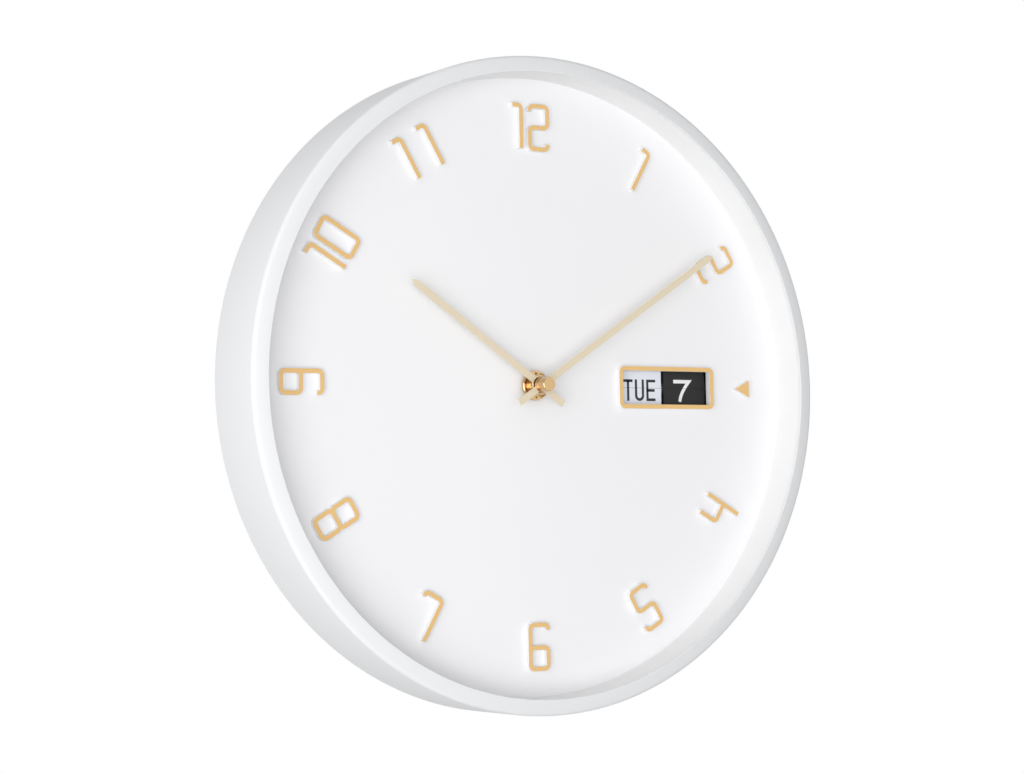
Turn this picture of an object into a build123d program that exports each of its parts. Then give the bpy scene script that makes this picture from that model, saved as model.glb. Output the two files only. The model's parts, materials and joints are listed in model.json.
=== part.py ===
"""Round wall clock with a day and date flip window, as separate pieces.

Millimetres. The front faces -Y, +Z points to twelve o'clock and y = 0 is the wall.
"""
import os
from math import cos, radians, sin, sqrt

from build123d import *

os.makedirs("parts", exist_ok=True)

# Driving dimensions of the case
case_radius = 150.0
case_depth = 38.5
rim_width = 7.5
sheet = 0.9
rim_fall = 1.4
dial_thick = 1.4
fit_gap = 0.3
running_gap = 0.1

# Dial furniture
numeral_margin = 12.1
numeral_height = 22.0
digit_width = 11.6
one_width = 6.6
digit_gap = 2.6
stroke = 2.0
relief = 2.4
marker_share = 0.417
marker_size = 8.2
window_width = 50.4
window_height = 15.9
frame_border = 2.0
frame_skirt = 0.6
frame_corner = 3.0
window_corner = 1.2

# Hands and the stack in front of the dial
hour_short = 38.4
minute_short = 3.4
hand_tail = 15.0
hand_width = 3.1
hand_point = 3.0
hand_thick = 0.8
hour_minutes = 9.5
hour_shown = 10
bush_radius = 4.0
bush_length = 5.8
nut_radius = 6.8
nut_neck = 5.2
nut_thick = 3.1
nut_flange = 1.4
washer_thick = 0.5
washer_rim = 0.4
hub_radius = 4.4
hour_hand_stand = 6.9
minute_hand_stand = 9.0
cap_radius = 3.35
cap_length = 5.3
tube_radius = 2.5
arbor_radius = 1.5

# Movement housing
wall = 1.2
box_top = 29.0
box_bottom = -21.0
bay_spare = 4.25
bay_gap = 0.55
drum_box_top = 14.0
drum_box_bottom = -17.0
cover_gap = 2.4
screw_radius = 1.0
screw_head = 1.9
head_thick = 1.3
boss_radius = 2.8

# Gear trains: teeth and modules
hour_teeth = 40
motion_leaves = 10
day_teeth = 80
hour_module = 0.4
cannon_leaves = 12
motion_teeth = 36
centre_teeth = 60
third_leaves = 8
third_teeth = 48
second_leaves = 6
second_teeth = 36
idler_leaves = 6
idler_teeth = 30
rotor_leaves = 6
train_module = 0.25
gear_thick = 0.8
pivot_radius = 0.45

# Flip drums
hinge_radius = 5.0
flange_radius = 5.4
flange_thick = 0.5
leaf_length = 7.5
leaf_gap = 0.12
leaf_thick = 0.08
card_corner = 2.2
drum_gap = 0.1
day_count = 28
date_count = 31
axle_radius = 1.0
date_tube = 2.0
day_tube = 3.0
ratchet_radius = 3.8
ratchet_depth = 0.7

# Battery
cell_radius = 7.25
cell_length = 49.5

# Planes that follow from the sizes above
rim_front = -case_depth
hour_room = 1.4
motion_room = 1.5
plate_room = 1.6
layer_step = 1.4
rear_room = 2.5
movement_depth = 2 * wall + hour_room + motion_room + 2 * plate_room + 4 * layer_step + rear_room
dial_back = -cover_gap - movement_depth
dial_front = dial_back - dial_thick
rim_inner = case_radius - rim_width
numeral_radius = rim_inner - numeral_margin - numeral_height / 2
hour_length = numeral_radius - hour_short
minute_length = numeral_radius - minute_short
house_front = dial_back
house_inside = house_front + wall
cover_back = -cover_gap
cover_front = cover_back - wall
hinge_plane = dial_front + 1.8
day_pitch = 360 / day_count
date_pitch = 360 / date_count
drum_y = hinge_plane + hinge_radius * cos(radians(date_pitch / 2))
minute_angle = 6 * hour_minutes
hour_angle = 30 * (hour_shown + hour_minutes / 60)
motion_module = hour_module * (hour_teeth + motion_leaves) / (cannon_leaves + motion_teeth)
motion_reach = hour_module * (hour_teeth + motion_leaves) / 2
day_reach = hour_module * (hour_teeth + day_teeth) / 2
hour_layer = house_inside + hour_room
motion_layer = hour_layer + motion_room
plate_back = motion_layer + plate_room

# Calendar places along x: from the day wheel to the drums, the window and the far rib
rib_clear = 2.0
rib_thick = 1.4
ratchet_room = 7.0
card_margin = 0.5
card_step = flange_thick + drum_gap
card_width = window_width / 2 - card_step - drum_gap - card_margin
left_rib = day_reach + hour_module * day_teeth / 2 + rib_clear
day_x0 = left_rib + ratchet_room + card_step
day_x1 = day_x0 + card_width
window_x = day_x1 + card_step + drum_gap
date_x0 = window_x + drum_gap + card_step
date_x1 = date_x0 + card_width
right_rib = date_x1 + card_step + 1.0
box_right = left_rib + 5.0
drum_box_right = right_rib + rib_thick + 6.5
frame_width = window_width + 2 * frame_border
frame_height = window_height + 2 * frame_border
frame_right = window_x + frame_width / 2
marker_radius = frame_right + marker_share * (rim_inner - frame_right)
bay_right = cell_length / 2 + bay_spare
box_left = -bay_right
bay_bottom = box_bottom - 2 * (cell_radius + wall + bay_gap)


def front(y, x=0.0, z=0.0, turn=0.0):
    """Sketch plane facing the viewer at depth y, turned anticlockwise."""
    a = radians(turn)
    return Plane(origin=(x, y, z), x_dir=(cos(a), 0, sin(a)), z_dir=(0, -1, 0))


def side(x, y=0.0, z=0.0):
    """Sketch plane across the drums at x, with y to the right and z up."""
    return Plane(origin=(x, y, z), x_dir=(0, 1, 0), z_dir=(1, 0, 0))


def disc(y_back, thick, radius, x=0.0, z=0.0, bore=0.0, mode=Mode.ADD):
    """Round plate or post whose back is at y_back; thick runs to the front."""
    with BuildSketch(front(y_back, x, z)) as face:
        Circle(radius)
        if bore:
            Circle(bore, mode=Mode.SUBTRACT)
    extrude(face.sketch, amount=thick, mode=mode)


def slab(y_back, thick, x0, x1, z0, z1, mode=Mode.ADD):
    """Rectangular block between two x values and two z values."""
    with BuildSketch(front(y_back, (x0 + x1) / 2, (z0 + z1) / 2)) as face:
        Rectangle(x1 - x0, z1 - z0)
    extrude(face.sketch, amount=thick, mode=mode)


def rod(x0, x1, radius, y, z=0.0, bore=0.0, mode=Mode.ADD):
    """Round bar along x, hollow where a bore is given."""
    with BuildSketch(side(x0, y, z)) as face:
        Circle(radius)
        if bore:
            Circle(bore, mode=Mode.SUBTRACT)
    extrude(face.sketch, amount=x1 - x0, mode=mode)


def polar(radius, angle):
    """Point on a circle, in sketch axes."""
    return radius * cos(radians(angle)), radius * sin(radians(angle))


def mesh_phase(phase, teeth, angle, next_teeth):
    """Phase of the next gear, so that its gap faces this gear's tooth."""
    return angle + 180 - (phase - angle) * teeth / next_teeth - 180 / next_teeth


def gear(y_back, thick, teeth, module, x=0.0, z=0.0, phase=0.0, bore=0.0):
    """Spur gear with straight tapered teeth and running backlash."""
    pitch_radius = module * teeth / 2
    pitch = 360 / teeth
    profile = ((-0.27, -1.15), (-0.1, 0.85), (0.1, 0.85), (0.27, -1.15))
    points = []
    for tooth in range(teeth):
        for across, out in profile:
            points.append(polar(pitch_radius + out * module, phase + (tooth + across) * pitch))
    with BuildSketch(front(y_back, x, z)) as face:
        with BuildLine():
            Polyline(*points, close=True)
        make_face()
        if bore:
            Circle(bore, mode=Mode.SUBTRACT)
    extrude(face.sketch, amount=thick)


# Case: one pressed steel rim, open at the back, with a rolled lip
lip_depth = 1.6
edge_round = 2.2
rim_slope = rim_fall / rim_width
with BuildPart() as case_shell:
    with BuildSketch(Plane.XY):
        with BuildLine():
            Polyline(
                (case_radius, 0),
                (case_radius, rim_front + rim_fall),
                (rim_inner, rim_front),
                (rim_inner, rim_front + lip_depth),
                (rim_inner + sheet, rim_front + lip_depth),
                (rim_inner + sheet, rim_front + sheet + rim_slope * sheet),
                (case_radius - sheet, rim_front + sheet + rim_slope * (rim_width - sheet)),
                (case_radius - sheet, 0),
                close=True,
            )
        make_face()
        outer_corner = vertices().sort_by_distance((case_radius, rim_front + rim_fall))[0]
        fillet(outer_corner, radius=edge_round)
        lip_corner = vertices().sort_by_distance((rim_inner, rim_front))[0]
        fillet(lip_corner, radius=sheet)
    revolve(axis=Axis.Y)
case_shell.part.label = "case_shell"
export_step(case_shell.part, "parts/case_shell.step")

# Spacer ring: the white inner wall between the lip and the dial
ring_front = rim_front + lip_depth + fit_gap
ring_draft = 0.4
ring_wall = 1.8
ring_flange = case_radius - sheet - fit_gap
ring_foot = 2.4
clip_angles = (45, 135, 225, 315)
clip_radius = ring_flange - 3.0
with BuildPart() as spacer_ring:
    with BuildSketch(Plane.XY):
        with BuildLine():
            Polyline(
                (rim_inner + 0.1, ring_front),
                (rim_inner + 0.1 - ring_draft, dial_front),
                (ring_flange, dial_front),
                (ring_flange, dial_front - ring_foot),
                (rim_inner + ring_wall, dial_front - ring_foot),
                (rim_inner + ring_wall, ring_front),
                close=True,
            )
        make_face()
    revolve(axis=Axis.Y)
    for angle in clip_angles:
        clip_x, clip_z = polar(clip_radius, angle)
        disc(dial_front, ring_foot - 0.4, screw_radius, clip_x, clip_z, mode=Mode.SUBTRACT)
spacer_ring.part.label = "spacer_ring"
export_step(spacer_ring.part, "parts/spacer_ring.step")

# Clips that hold the ring and the dial in the case
clip_width = 14.0
clip_plate = 1.0
clip_reach = 9.0
clip_wall = sqrt((case_radius - sheet) ** 2 - (clip_width / 2) ** 2) - 0.05
with BuildPart() as case_clips:
    for angle in clip_angles:
        with BuildSketch(front(dial_back + clip_plate, turn=angle)):
            with Locations((clip_wall - clip_reach / 2, 0)):
                Rectangle(clip_reach, clip_width)
            with Locations((clip_radius, 0)):
                Circle(screw_radius + running_gap, mode=Mode.SUBTRACT)
        extrude(amount=clip_plate)
        with BuildSketch(front(dial_back + clip_reach, turn=angle)):
            with Locations((clip_wall - clip_plate / 2, 0)):
                Rectangle(clip_plate, clip_width)
        extrude(amount=clip_reach)
case_clips.part.label = "case_clips"
export_step(case_clips.part, "parts/case_clips.step")

with BuildPart() as clip_screws:
    clip_seat = dial_back + clip_plate
    for angle in clip_angles:
        clip_x, clip_z = polar(clip_radius, angle)
        disc(clip_seat + head_thick, head_thick, screw_head, clip_x, clip_z)
        disc(clip_seat, clip_plate + dial_thick + ring_foot - 0.6, screw_radius, clip_x, clip_z)
clip_screws.part.label = "clip_screws"
export_step(clip_screws.part, "parts/clip_screws.step")

# Hanger: steel angle on the case wall with a keyhole
hanger_width = 36.0
hanger_plate = 1.2
hanger_back = -1.0
hanger_leg = 12.0
hanger_height = 34.0
key_radius = 5.0
key_slot = 2.5
key_drop = 26.0
key_travel = 9.0
hanger_top = sqrt((case_radius - sheet) ** 2 - (hanger_width / 2) ** 2) - 0.05
hanger_bottom = hanger_top - hanger_height
key_z = hanger_top - key_drop
with BuildPart() as hanger_bracket:
    with BuildSketch(front(hanger_back, 0, (hanger_bottom + hanger_top) / 2)):
        RectangleRounded(hanger_width, hanger_top - hanger_bottom, 3)
    extrude(amount=hanger_plate)
    half_width = hanger_width / 2
    slab(hanger_back, hanger_plate, -half_width, half_width, hanger_top - 6, hanger_top)
    slab(hanger_back, hanger_leg, -half_width, half_width, hanger_top - hanger_plate, hanger_top)
    with BuildSketch(front(hanger_back, 0, key_z)):
        Circle(key_radius)
        with Locations((0, key_travel / 2)):
            Rectangle(2 * key_slot, key_travel)
        with Locations((0, key_travel)):
            Circle(key_slot)
    extrude(amount=hanger_plate, mode=Mode.SUBTRACT)
hanger_bracket.part.label = "hanger_bracket"
export_step(hanger_bracket.part, "parts/hanger_bracket.step")

# Dial: moulded disc with the shaft hole and the calendar cut-out
cutout_width = window_width + 2 * (frame_skirt + 0.5)
cutout_height = window_height + 2 * (frame_skirt + 0.4)
with BuildPart() as dial_plate:
    disc(dial_back, dial_thick, ring_flange)
    disc(dial_back, dial_thick, bush_radius + running_gap, mode=Mode.SUBTRACT)
    for angle in clip_angles:
        clip_x, clip_z = polar(clip_radius, angle)
        disc(dial_back, dial_thick, screw_radius + running_gap, clip_x, clip_z, mode=Mode.SUBTRACT)
    with BuildSketch(front(dial_back, window_x)):
        Rectangle(cutout_width, cutout_height)
    extrude(amount=dial_thick, mode=Mode.SUBTRACT)
dial_plate.part.label = "dial_plate"
export_step(dial_plate.part, "parts/dial_plate.step")

# Applied numerals: open strokes with soft corners, drawn on a digit cell
cell_w = digit_width - stroke
one_w = one_width - stroke
cell_h = numeral_height - stroke
half = cell_h / 2
hook = 2.4
waist = 0.48 * cell_h
corner = 2.0
pair_space = cell_w - one_w
strokes = {
    "0": [([(0, 0), (cell_w, 0), (cell_w, cell_h), (0, cell_h)], True)],
    "1": [([(0, cell_h), (one_w, cell_h), (one_w, 0)], False)],
    "2": [
        (
            [
                (0, cell_h - hook), (0, cell_h), (cell_w, cell_h), (cell_w, half),
                (0, half), (0, 0), (cell_w, 0), (cell_w, hook),
            ],
            False,
        )
    ],
    "4": [
        ([(0, cell_h), (0, half), (cell_w, half)], False),
        ([(cell_w, cell_h), (cell_w, 0)], False),
    ],
    "5": [
        (
            [
                (cell_w, cell_h - hook), (cell_w, cell_h), (0, cell_h), (0, half),
                (cell_w, half), (cell_w, 0), (0, 0), (0, hook),
            ],
            False,
        )
    ],
    "6": [
        ([(cell_w, cell_h - hook), (cell_w, cell_h), (0, cell_h), (0, corner)], False),
        ([(0, 0), (cell_w, 0), (cell_w, waist), (0, waist)], True),
    ],
    "7": [([(0, cell_h - hook), (0, cell_h), (cell_w, cell_h), (cell_w, 0)], False)],
    "8": [
        ([(0, 0), (cell_w, 0), (cell_w, half), (0, half)], True),
        ([(0, half), (cell_w, half), (cell_w, cell_h), (0, cell_h)], True),
    ],
    "9": [
        ([(0, hook), (0, 0), (cell_w, 0), (cell_w, cell_h - corner)], False),
        ([(0, cell_h - waist), (cell_w, cell_h - waist), (cell_w, cell_h), (0, cell_h)], True),
    ],
}


def digit_span(digit):
    """Distance between a digit's outer stroke lines."""
    return one_w if digit == "1" else cell_w


def make_numeral(hour):
    """Raised numeral for one hour, standing on the dial at its place."""
    text = str(hour)
    angle = radians(30 * hour)
    upright = -1 if 3 < hour < 9 else 1
    place = Plane(
        origin=(numeral_radius * sin(angle), dial_front, numeral_radius * cos(angle)),
        x_dir=(upright * cos(angle), 0, -upright * sin(angle)),
        z_dir=(0, -1, 0),
    )
    step = stroke + digit_gap + (pair_space if text == "11" else 0)
    gaps = step * (len(text) - 1)
    left = -(sum(digit_span(digit) for digit in text) + gaps) / 2
    with BuildPart() as numeral:
        for digit in text:
            for points, closed in strokes[digit]:
                moved = [(left + across, up - half) for across, up in points]
                with BuildSketch(place):
                    with BuildLine():
                        if len(moved) > 2:
                            FilletPolyline(*moved, radius=corner, close=closed)
                        else:
                            Line(*moved)
                    trace(line_width=stroke)
                extrude(amount=relief)
            left += digit_span(digit) + step
    return numeral.part


for hour in (1, 2, 4, 5, 6, 7, 8, 9, 10, 11, 12):
    numeral_part = make_numeral(hour)
    numeral_part.label = f"numeral_{hour}"
    export_step(numeral_part, f"parts/numeral_{hour}.step")

# Pointer at three o'clock and the calendar frame
with BuildPart() as three_marker:
    with BuildSketch(front(dial_front, marker_radius)):
        with BuildLine():
            Polyline(
                (-marker_size / 2, 0),
                (marker_size / 2, -marker_size / 2),
                (marker_size / 2, marker_size / 2),
                close=True,
            )
        make_face()
    extrude(amount=relief)
three_marker.part.label = "three_marker"
export_step(three_marker.part, "parts/three_marker.step")

skirt_back = dial_back
with BuildPart() as window_frame:
    with BuildSketch(front(dial_front, window_x)):
        RectangleRounded(frame_width, frame_height, frame_corner)
    extrude(amount=relief)
    with BuildSketch(front(skirt_back, window_x)):
        Rectangle(cutout_width - 0.4, cutout_height - 0.2)
    extrude(amount=skirt_back - dial_front)
    with BuildSketch(front(skirt_back, window_x)):
        RectangleRounded(window_width, window_height, window_corner)
    extrude(amount=skirt_back - dial_front + relief, mode=Mode.SUBTRACT)
    with BuildSketch(front(skirt_back, window_x)):
        Rectangle(cutout_width - 0.4 - 2 * frame_skirt, cutout_height - 0.2 - frame_skirt)
    extrude(amount=skirt_back - dial_front, mode=Mode.SUBTRACT)
window_frame.part.label = "window_frame"
export_step(window_frame.part, "parts/window_frame.step")

# Hand stack in front of the dial
nut_back = dial_front - washer_thick
bush_front = dial_front - bush_length
hour_seat = dial_front - hour_hand_stand
minute_seat = dial_front - minute_hand_stand
cap_back = minute_seat - hand_thick
collet_radius = 3.6
collet_length = 0.8
thread_radius = 1.1
thread_length = cap_length - 1.2

with BuildPart() as centre_bush:
    disc(house_inside, house_inside - bush_front, bush_radius, bore=tube_radius + running_gap)
    chamfer(centre_bush.edges().group_by(Axis.Y)[0].filter_by(GeomType.CIRCLE)[-1], length=0.3)
centre_bush.part.label = "centre_bush"
export_step(centre_bush.part, "parts/centre_bush.step")

with BuildPart() as dial_washer:
    disc(dial_front, washer_thick, nut_neck + washer_rim, bore=bush_radius + running_gap)
dial_washer.part.label = "dial_washer"
export_step(dial_washer.part, "parts/dial_washer.step")

with BuildPart() as mounting_nut:
    disc(nut_back, nut_thick - nut_flange, nut_neck)
    disc(nut_back - nut_thick + nut_flange, nut_flange, nut_radius)
    chamfer(mounting_nut.edges().group_by(Axis.Y)[0].filter_by(GeomType.CIRCLE)[-1], length=0.3)
    disc(nut_back, nut_thick, bush_radius, mode=Mode.SUBTRACT)
    for angle in (0, 90, 180, 270):
        hole_x, hole_z = polar((bush_radius + nut_radius) / 2, angle)
        disc(nut_back - nut_thick + nut_flange, nut_flange, 0.6, hole_x, hole_z, mode=Mode.SUBTRACT)
mounting_nut.part.label = "mounting_nut"
export_step(mounting_nut.part, "parts/mounting_nut.step")


def make_hand(length, angle, seat, hub, bore):
    """Flat bar hand with a short point, a square tail, a round hub and a collet."""
    edge = hand_width / 2
    with BuildPart() as hand:
        with BuildSketch(front(seat, turn=90 - angle)):
            with BuildLine():
                Polyline(
                    (-hand_tail, -edge),
                    (length - hand_point, -edge),
                    (length, 0),
                    (length - hand_point, edge),
                    (-hand_tail, edge),
                    close=True,
                )
            make_face()
            Circle(hub)
        extrude(amount=hand_thick)
        disc(seat + collet_length, collet_length, collet_radius)
        disc(seat + collet_length, collet_length + hand_thick, bore, mode=Mode.SUBTRACT)
    return hand.part


hour_hand = make_hand(hour_length, hour_angle, hour_seat, hub_radius, tube_radius)
hour_hand.label = "hour_hand"
export_step(hour_hand, "parts/hour_hand.step")

minute_hand = make_hand(minute_length, minute_angle, minute_seat, collet_radius, arbor_radius)
minute_hand.label = "minute_hand"
export_step(minute_hand, "parts/minute_hand.step")

with BuildPart() as hand_nut:
    disc(cap_back, cap_length, cap_radius)
    fillet(hand_nut.edges().group_by(Axis.Y)[0], radius=0.5)
    disc(cap_back, thread_length, thread_radius, mode=Mode.SUBTRACT)
hand_nut.part.label = "hand_nut"
export_step(hand_nut.part, "parts/hand_nut.step")

# Places of the wheels, as (x, z)
motion_angle = -90.0
motion_at = polar(motion_reach, motion_angle)
knob_angle = 0.0
knob_reach = motion_module * (cannon_leaves + motion_teeth) / 2
knob_at = (motion_at[0] + knob_reach, motion_at[1])
day_at = (day_reach, 0.0)


def train_step(start, leaves, teeth, angle):
    """Centre of the next wheel of the quartz train."""
    reach = train_module * (leaves + teeth) / 2
    step_x, step_z = polar(reach, angle)
    return start[0] + step_x, start[1] + step_z


third_angle = 135.0
second_angle = 190.0
idler_angle = 100.0
rotor_angle = 95.0
third_at = train_step((0, 0), third_leaves, centre_teeth, third_angle)
second_at = train_step(third_at, second_leaves, third_teeth, second_angle)
idler_at = train_step(second_at, idler_leaves, second_teeth, idler_angle)
rotor_at = train_step(idler_at, rotor_leaves, idler_teeth, rotor_angle)

# Layers of the quartz train, each the back of a wheel
centre_layer = plate_back + plate_room
third_layer = centre_layer + layer_step
second_layer = third_layer + layer_step
idler_layer = second_layer + layer_step
rotor_layer = idler_layer + layer_step
arbor_back = cover_front - 0.2

# Movement housing: open-backed box with a battery bay and a drum room
room_z0 = box_bottom + wall
cover_screws_at = (
    (box_left + 3.6, box_bottom + 3.6),
    (box_right - 3.6, box_bottom + 3.6),
    (box_right - 3.6, box_top - 3.6),
    (box_left + 3.6, box_top - 3.6),
    (drum_box_right - 3.6, drum_box_bottom + 3.6),
    (drum_box_right - 3.6, drum_box_top - 3.6),
)
post_x0 = box_left + 9.0
post_x1 = 9.5
post_z0 = box_bottom + 10.0
post_z1 = box_top - 10.0
plate_posts = ((post_x0, post_z0), (post_x0, post_z1), (post_x1, post_z1))
cover_outline = (
    (box_right, box_bottom), (box_right, drum_box_bottom), (drum_box_right, drum_box_bottom),
    (drum_box_right, drum_box_top), (box_right, drum_box_top), (box_right, box_top),
    (box_left, box_top),
)
house_depth = cover_front - house_front
with BuildPart() as movement_housing:
    slab(cover_front, house_depth, box_left, box_right, box_bottom, box_top)
    slab(cover_front, house_depth, box_right - wall, drum_box_right, drum_box_bottom, drum_box_top)
    slab(cover_front, house_depth, -bay_right, bay_right, bay_bottom, box_bottom + wall)
    room_depth = cover_front - house_inside
    slab(cover_front, room_depth, box_left + wall, box_right - wall, room_z0, box_top - wall, Mode.SUBTRACT)
    slab(
        cover_front, room_depth, box_right - 2 * wall, drum_box_right - wall,
        drum_box_bottom + wall, drum_box_top - wall, Mode.SUBTRACT,
    )
    slab(
        cover_front, room_depth, wall - bay_right, bay_right - wall,
        bay_bottom + wall, box_bottom - wall, Mode.SUBTRACT,
    )
    for post_x, post_z in cover_screws_at:
        disc(cover_front, room_depth, boss_radius, post_x, post_z)
        disc(cover_front, room_depth - 2, screw_radius, post_x, post_z, mode=Mode.SUBTRACT)
    for post_x, post_z in plate_posts:
        disc(plate_back - gear_thick, plate_back - gear_thick - house_inside, 2.0, post_x, post_z)
    for post_x in (left_rib, right_rib):
        rib_back = drum_y + 3.0
        slab(rib_back, rib_back - house_inside, post_x, post_x + rib_thick, -5, 5)
        rod(post_x, post_x + rib_thick, axle_radius, drum_y, mode=Mode.SUBTRACT)
    disc(motion_layer + 0.4, motion_layer + 0.4 - house_inside, 0.7, *motion_at)
    disc(cover_front - 1.0, room_depth - 1.0, 0.9, *day_at)
    disc(house_inside, wall, bush_radius, mode=Mode.SUBTRACT)
    slab(
        house_inside, wall, window_x - cutout_width / 2, window_x + cutout_width / 2,
        -hinge_radius - leaf_length - 1.0, cutout_height / 2 + 0.5, Mode.SUBTRACT,
    )
movement_housing.part.label = "movement_housing"
export_step(movement_housing.part, "parts/movement_housing.step")

# Rear cover with the lever post, and its screws
lever_at = (left_rib - 5.0, 3.0)
spring_at = (day_at[0] - 5.0, 16.5)
lever_back = cover_front - 3.7
with BuildPart() as rear_cover:
    with BuildSketch(front(cover_back)):
        with BuildLine():
            Polyline((box_left, box_bottom), *cover_outline, close=True)
        make_face()
    extrude(amount=wall)
    for post_x, post_z in cover_screws_at:
        disc(cover_back, wall, screw_radius + running_gap, post_x, post_z, mode=Mode.SUBTRACT)
    disc(cover_front, cover_front - lever_back + 1.6, 1.2, *lever_at)
    disc(cover_front, cover_front - lever_back + 1.6, 1.2, *spring_at)
    disc(cover_back, wall, 1.5, *knob_at, mode=Mode.SUBTRACT)
rear_cover.part.label = "rear_cover"
export_step(rear_cover.part, "parts/rear_cover.step")

with BuildPart() as cover_screws:
    for post_x, post_z in cover_screws_at:
        disc(cover_back + head_thick, head_thick, screw_head, post_x, post_z)
        disc(cover_back, wall + 6, screw_radius, post_x, post_z)
cover_screws.part.label = "cover_screws"
export_step(cover_screws.part, "parts/cover_screws.step")

# Middle plate between the hand wheels and the quartz train
train_axes = (third_at, second_at, idler_at, rotor_at)
with BuildPart() as train_plate:
    plate_edge = 3.0
    slab(
        plate_back, gear_thick, post_x0 - plate_edge, post_x1 + plate_edge,
        post_z0 - plate_edge, post_z1 + plate_edge,
    )
    disc(plate_back, gear_thick, arbor_radius + running_gap, mode=Mode.SUBTRACT)
    disc(plate_back, gear_thick, 1.5, *knob_at, mode=Mode.SUBTRACT)
    for axis_at in train_axes:
        disc(plate_back, gear_thick, pivot_radius + 0.05, *axis_at, mode=Mode.SUBTRACT)
train_plate.part.label = "train_plate"
export_step(train_plate.part, "parts/train_plate.step")

# Hand wheels: minute arbor, motion wheel, hour wheel, setting knob
pinion_extra = 0.2
cannon_phase = 0.0
motion_phase = mesh_phase(cannon_phase, cannon_leaves, motion_angle, motion_teeth)
knob_phase = mesh_phase(motion_phase, motion_teeth, knob_angle, cannon_leaves)
motion_pinion_phase = 0.0
hour_phase = mesh_phase(motion_pinion_phase, motion_leaves, motion_angle + 180, hour_teeth)
day_phase = mesh_phase(hour_phase, hour_teeth, 0.0, day_teeth)

with BuildPart() as minute_arbor:
    pinion = gear_thick + 2 * pinion_extra
    gear(motion_layer + pinion_extra, pinion, cannon_leaves, motion_module, phase=cannon_phase)
    disc(centre_layer + 0.6, centre_layer + 0.6 - cap_back, arbor_radius)
    disc(cap_back, thread_length, thread_radius)
    disc(arbor_back, arbor_back - centre_layer, 1.0)
minute_arbor.part.label = "minute_arbor"
export_step(minute_arbor.part, "parts/minute_arbor.step")

with BuildPart() as motion_wheel:
    gear(motion_layer, gear_thick, motion_teeth, motion_module, *motion_at, phase=motion_phase)
    gear(
        motion_layer, motion_layer - hour_layer + gear_thick + pinion_extra,
        motion_leaves, hour_module, *motion_at, phase=motion_pinion_phase,
    )
    disc(motion_layer, 4.0, 0.75, *motion_at, mode=Mode.SUBTRACT)
motion_wheel.part.label = "motion_wheel"
export_step(motion_wheel.part, "parts/motion_wheel.step")

with BuildPart() as hour_wheel:
    gear(hour_layer, gear_thick, hour_teeth, hour_module, phase=hour_phase)
    disc(hour_layer, hour_layer - hour_seat + hand_thick, tube_radius)
    disc(
        hour_layer, hour_layer - hour_seat + hand_thick, arbor_radius + running_gap,
        mode=Mode.SUBTRACT,
    )
hour_wheel.part.label = "hour_wheel"
export_step(hour_wheel.part, "parts/hour_wheel.step")

knob_radius = 4.6
with BuildPart() as setting_knob:
    gear(motion_layer + pinion_extra, pinion, cannon_leaves, motion_module, *knob_at, phase=knob_phase)
    disc(-2.2, -2.2 - motion_layer, 1.4, *knob_at)
    disc(-0.7, 1.5, knob_radius, *knob_at)
    for angle in range(0, 360, 30):
        grip_x, grip_z = polar(knob_radius, angle)
        disc(-0.7, 1.5, 0.6, knob_at[0] + grip_x, knob_at[1] + grip_z, mode=Mode.SUBTRACT)
setting_knob.part.label = "setting_knob"
export_step(setting_knob.part, "parts/setting_knob.step")

# Day wheel: one turn in 24 hours, with the snail cam that trips the lever
cam_high = 8.0
cam_low = 6.0
cam_steps = 24
cam_back = lever_back + 0.2
cam_turn = 360 / cam_steps
with BuildPart() as day_wheel:
    gear(hour_layer, gear_thick, day_teeth, hour_module, *day_at, phase=day_phase)
    for arm in range(5):
        hole_x, hole_z = polar(10.5, 72 * arm)
        disc(
            hour_layer, gear_thick, 4.2, day_at[0] + hole_x, day_at[1] + hole_z,
            mode=Mode.SUBTRACT,
        )
    disc(cam_back, cam_back - hour_layer, 2.2, *day_at)
    snail = []
    for step in range(cam_steps):
        snail.append(polar(cam_low + (cam_high - cam_low) * step / (cam_steps - 1), step * cam_turn))
    with BuildSketch(front(cam_back, *day_at)):
        with BuildLine():
            Polyline(*snail, close=True)
        make_face()
    extrude(amount=1.2)
    disc(cam_back, case_depth, 0.95, *day_at, mode=Mode.SUBTRACT)
day_wheel.part.label = "day_wheel"
export_step(day_wheel.part, "parts/day_wheel.step")

# Quartz train: centre wheel, third wheel, second wheel, idler and rotor
centre_phase = 0.0
third_phase = mesh_phase(centre_phase, centre_teeth, third_angle, third_leaves)
third_wheel_phase = 0.0
second_phase = mesh_phase(third_wheel_phase, third_teeth, second_angle, second_leaves)
second_wheel_phase = 0.0
idler_phase = mesh_phase(second_wheel_phase, second_teeth, idler_angle, idler_leaves)
idler_wheel_phase = 0.0
rotor_phase = mesh_phase(idler_wheel_phase, idler_teeth, rotor_angle, rotor_leaves)
pinion_deep = gear_thick + 2 * pinion_extra
arbor_front = plate_back - gear_thick + 0.1

with BuildPart() as centre_wheel:
    gear(centre_layer, gear_thick, centre_teeth, train_module, phase=centre_phase, bore=arbor_radius + 0.05)
centre_wheel.part.label = "centre_wheel"
export_step(centre_wheel.part, "parts/centre_wheel.step")


def make_arbor(at, wheel_layer, teeth, phase, pinion_layer, leaves, pinion_phase):
    """Wheel and pinion on one thin arbor between the plate and the cover."""
    with BuildPart() as arbor:
        gear(wheel_layer, gear_thick, teeth, train_module, *at, phase=phase)
        gear(pinion_layer + pinion_extra, pinion_deep, leaves, train_module, *at, phase=pinion_phase)
        disc(arbor_back, arbor_back - arbor_front, pivot_radius, *at)
    return arbor.part


third_wheel = make_arbor(
    third_at, third_layer, third_teeth, third_wheel_phase, centre_layer, third_leaves, third_phase,
)
third_wheel.label = "third_wheel"
export_step(third_wheel, "parts/third_wheel.step")

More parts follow.
